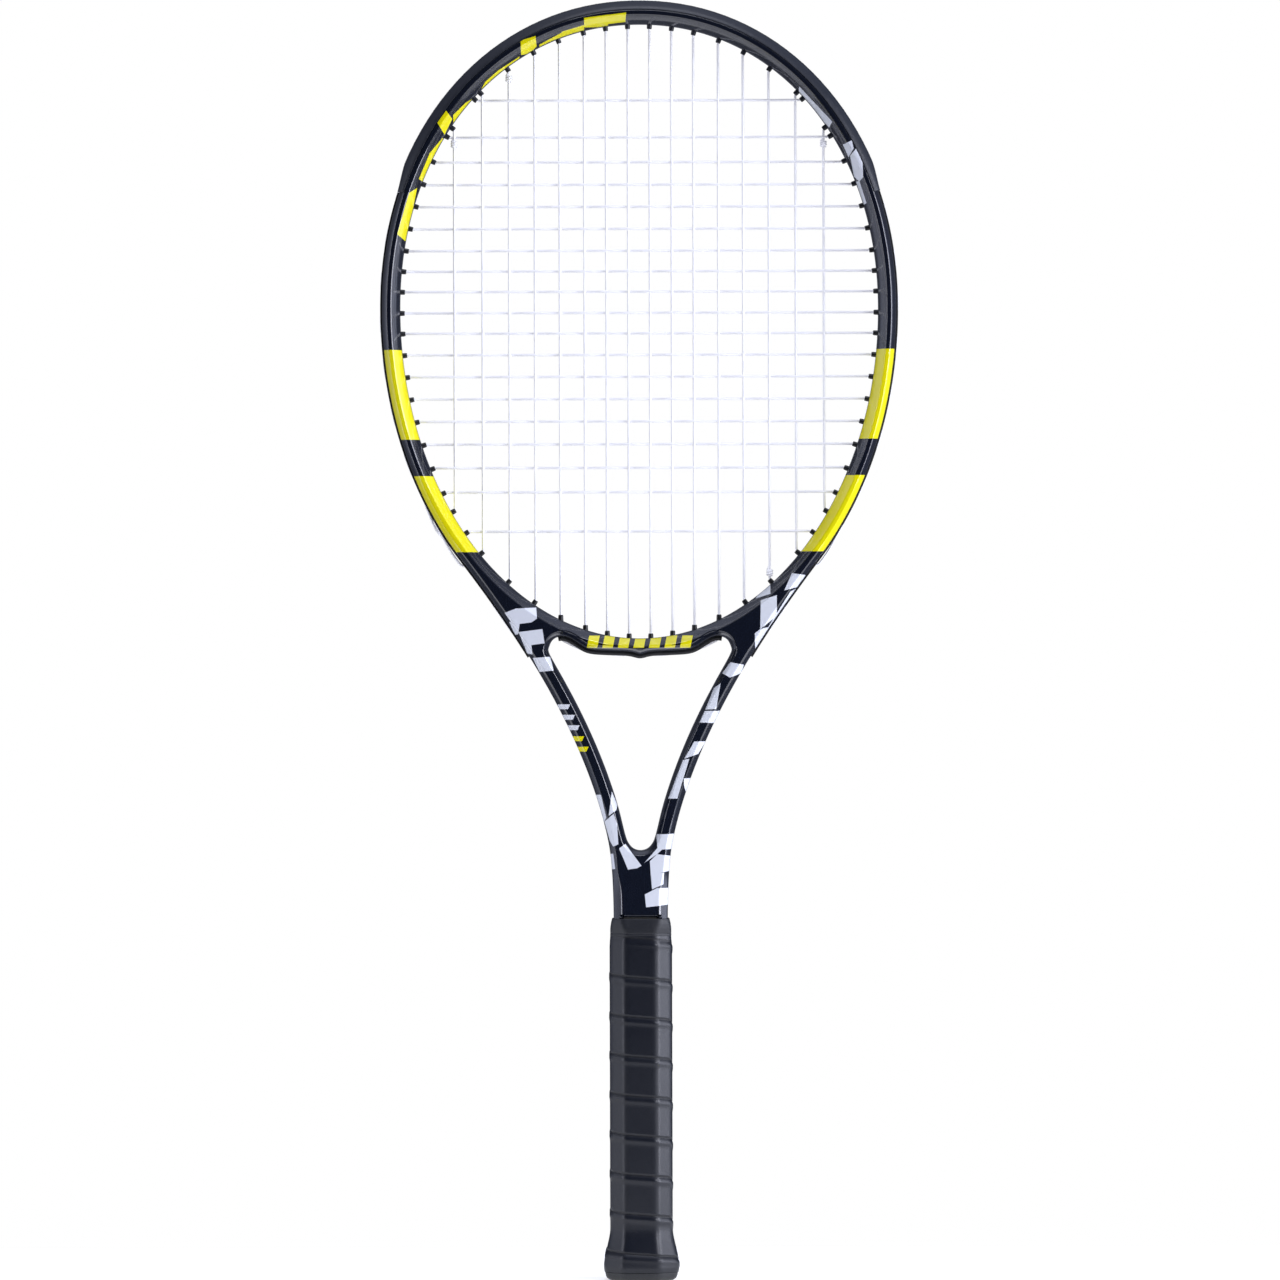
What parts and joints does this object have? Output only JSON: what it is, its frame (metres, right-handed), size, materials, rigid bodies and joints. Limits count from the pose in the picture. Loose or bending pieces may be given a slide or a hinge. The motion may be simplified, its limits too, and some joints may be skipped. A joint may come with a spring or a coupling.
{
  "type": "tennis racket",
  "caption": "Strung tennis racket with an oval head, open throat, octagonal wrapped handle and flared butt.",
  "frame": {"origin": "centre of the butt's end face", "axes": "+Z from the butt to the tip of the head, +Y from the front face to the back face, +X to the right seen from the front; the string bed lies in the X-Z plane"},
  "size_m": [0.2778, 0.0364, 0.685],
  "materials": {
    "lacquered_carbon": "clear-coated paint over carbon laminate, near-black navy with yellow and white blocks",
    "foam": "moulded polyurethane foam",
    "cap_plastic": "moulded black nylon",
    "staple_steel": "drawn steel wire",
    "grip_leatherette": "black embossed synthetic leather with a soft sheen",
    "tape": "thin black vinyl tape",
    "collar_rubber": "moulded black rubber",
    "grommet_nylon": "moulded black nylon",
    "string_polymer": "white coated synthetic gut"
  },
  "bodies": {
    "racket": {"frame_hairpin": "lacquered_carbon", "bridge": "lacquered_carbon", "throat_sleeve": "lacquered_carbon", "bridge_core": "foam", "leg_plugs": "foam", "pallet_front": "foam", "pallet_back": "foam", "butt_cap": "cap_plastic", "cap_staples": "staple_steel", "grip_wrap": "grip_leatherette", "finishing_tape": "tape", "bumper_guard": "grommet_nylon", "grommet_strip_left": "grommet_nylon", "grommet_strip_right": "grommet_nylon", "grommet_strip_bridge": "grommet_nylon", "main_strings": "string_polymer", "cross_strings": "string_polymer", "string_knots": "string_polymer"},
    "butt_cap_door": {"butt_cap_door": "cap_plastic"},
    "rubber_collar": {"rubber_collar": "collar_rubber"}
  },
  "joints": [
    {"name": "door_pull", "type": "slide", "parent": "racket", "child": "butt_cap_door", "axis": [0, 0, -1], "range_m": [0, 0.012]},
    {"name": "collar_slide", "type": "slide", "parent": "racket", "child": "rubber_collar", "axis": [0, 0, 1], "range_m": [0, 0.012]}
  ]
}
